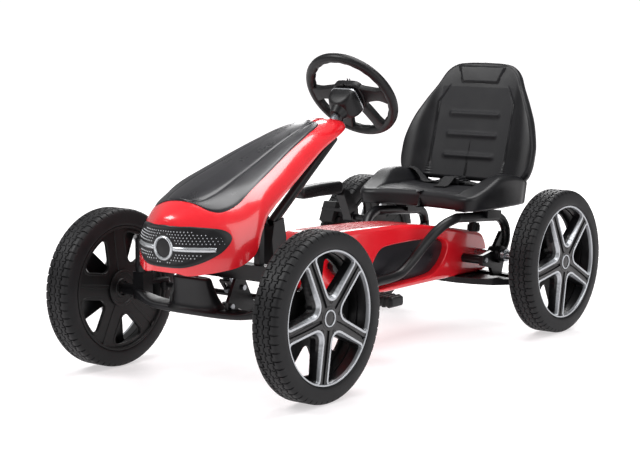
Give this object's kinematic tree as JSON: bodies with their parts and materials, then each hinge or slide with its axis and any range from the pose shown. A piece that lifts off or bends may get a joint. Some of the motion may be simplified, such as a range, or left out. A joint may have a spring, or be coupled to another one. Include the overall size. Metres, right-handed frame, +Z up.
{
  "type": "pedal go kart",
  "caption": "Child's pedal go kart with a tube frame, moulded nose, steered front wheels, chain drive, hand brake and sliding bucket seat.",
  "frame": {"origin": "on the ground, on the centre plane, midway between the two axles", "axes": "+Z up; the kart drives towards -Y; the kart's left side is +X"},
  "size_m": [0.514, 1.046, 0.5492],
  "materials": {
    "frame_black": "black satin powder coat",
    "steel_dark": "zinc plated, dull",
    "steel_bright": "bright zinc plated",
    "chain_steel": "oiled",
    "bush_plastic": "plain",
    "shell_red": "polished",
    "insert_black": "satin",
    "grille_black": "satin",
    "trim_silver": "metallic paint",
    "bumper_black": "fine texture",
    "seat_black": "satin with fine grain",
    "webbing": "woven polyester",
    "grip_black": "satin",
    "tyre_foam": "satin foam rubber",
    "rim_black": "satin",
    "brake_rubber": "matt"
  },
  "bodies": {
    "chassis": {"backbone_tube": "frame_black", "front_axle_beam": "frame_black", "column_mast": "frame_black", "column_bushes": "bush_plastic", "seat_tube_left": "frame_black", "seat_tube_right": "frame_black", "rear_carrier": "frame_black", "axle_bushes": "bush_plastic", "crank_housing": "frame_black", "hood_shell": "shell_red", "hood_panel": "insert_black", "grille_panel": "grille_black", "grille_bar": "trim_silver", "nose_badge": "trim_silver", "front_bumper": "bumper_black", "rear_bumper": "bumper_black", "chain_cover_left": "shell_red", "chain_cover_right": "shell_red", "side_panel_left": "insert_black", "side_panel_right": "insert_black", "frame_bolts": "steel_bright", "chain": "chain_steel", "brake_bracket": "frame_black"},
    "seat": {"seat_base": "seat_black", "seat_back": "seat_black", "seat_slider": "frame_black", "belt_left": "webbing", "belt_right": "webbing", "belt_buckle": "bumper_black"},
    "clamp_knob": {"seat_knob": "grip_black"},
    "steering": {"steering_wheel": "grip_black", "wheel_boss": "grip_black", "steering_shaft": "steel_dark"},
    "knuckle_left_body": {"knuckle_left": "steel_dark"},
    "knuckle_right_body": {"knuckle_right": "steel_dark"},
    "tie_rod_body": {"tie_rod": "steel_dark"},
    "wheel_front_left": {"tyre_front_left": "tyre_foam", "rim_front_left": "rim_black", "rim_back_front_left": "rim_black"},
    "wheel_front_right": {"tyre_front_right": "tyre_foam", "rim_front_right": "rim_black", "rim_back_front_right": "rim_black"},
    "axle_and_left_wheel": {"rear_axle": "steel_bright", "rear_sprocket": "steel_dark", "tyre_rear_left": "tyre_foam", "rim_rear_left": "rim_black", "rim_back_rear_left": "rim_black"},
    "wheel_rear_right": {"tyre_rear_right": "tyre_foam", "rim_rear_right": "rim_black", "rim_back_rear_right": "rim_black"},
    "cranks": {"crankset": "steel_dark", "chainring": "steel_dark"},
    "pedal_left_body": {"pedal_left": "grip_black"},
    "pedal_right_body": {"pedal_right": "grip_black"},
    "brake": {"brake_lever": "frame_black", "brake_grip": "grip_black", "brake_shoe": "brake_rubber"}
  },
  "joints": [
    {"name": "seat_adjust", "type": "slide", "parent": "chassis", "child": "seat", "axis": [0, -0.9972, 0.0751], "range_m": [0, 0.06]},
    {"name": "clamp_turn", "type": "hinge", "parent": "seat", "child": "clamp_knob", "pos_m": [0.064, 0.347, 0.2197], "axis": [0, 0.0751, 0.9972], "range_deg": [-90, 90]},
    {"name": "steering_turn", "type": "hinge", "parent": "chassis", "child": "steering", "pos_m": [0, 0.015, 0.472], "axis": [0, 0.788, 0.6157], "range_deg": [-38, 38]},
    {"name": "knuckle_left_turn", "type": "hinge", "parent": "chassis", "child": "knuckle_left_body", "pos_m": [0.155, -0.383, 0.14], "axis": [0, 0, 1], "range_deg": [-22, 22]},
    {"name": "knuckle_right_turn", "type": "hinge", "parent": "chassis", "child": "knuckle_right_body", "pos_m": [-0.155, -0.383, 0.14], "axis": [0, 0, 1], "range_deg": [-22, 22]},
    {"name": "tie_rod_turn", "type": "hinge", "parent": "knuckle_left_body", "child": "tie_rod_body", "pos_m": [0.155, -0.327, 0.14516], "axis": [0, 0, 1], "range_deg": [-22, 22]},
    {"name": "front_left_spin", "type": "hinge", "parent": "knuckle_left_body", "child": "wheel_front_left", "pos_m": [0.2285, -0.383, 0.14], "axis": [1, 0, 0], "continuous": true},
    {"name": "front_right_spin", "type": "hinge", "parent": "knuckle_right_body", "child": "wheel_front_right", "pos_m": [-0.2285, -0.383, 0.14], "axis": [1, 0, 0], "continuous": true},
    {"name": "rear_axle_spin", "type": "hinge", "parent": "chassis", "child": "axle_and_left_wheel", "pos_m": [0, 0.383, 0.14], "axis": [1, 0, 0], "continuous": true},
    {"name": "rear_right_spin", "type": "hinge", "parent": "chassis", "child": "wheel_rear_right", "pos_m": [-0.2285, 0.383, 0.14], "axis": [1, 0, 0], "continuous": true},
    {"name": "crank_spin", "type": "hinge", "parent": "chassis", "child": "cranks", "pos_m": [0, -0.112, 0.172], "axis": [1, 0, 0], "continuous": true, "deforming": ["chain"]},
    {"name": "pedal_left_spin", "type": "hinge", "parent": "cranks", "child": "pedal_left_body", "pos_m": [0.11, -0.04977, 0.10977], "axis": [1, 0, 0], "continuous": true},
    {"name": "pedal_right_spin", "type": "hinge", "parent": "cranks", "child": "pedal_right_body", "pos_m": [-0.11, -0.17422, 0.23422], "axis": [1, 0, 0], "continuous": true},
    {"name": "brake_pull", "type": "hinge", "parent": "chassis", "child": "brake", "pos_m": [-0.17, 0.25, 0.208], "axis": [-1, 0, 0], "range_deg": [0, 7]}
  ],
  "couplings": [
    {"joint": "knuckle_left_turn", "follows": "steering_turn", "ratio": 0.5598},
    {"joint": "knuckle_right_turn", "follows": "steering_turn", "ratio": 0.5598},
    {"joint": "tie_rod_turn", "follows": "steering_turn", "ratio": -0.5598},
    {"joint": "crank_spin", "follows": "rear_axle_spin", "ratio": 0.66667}
  ]
}
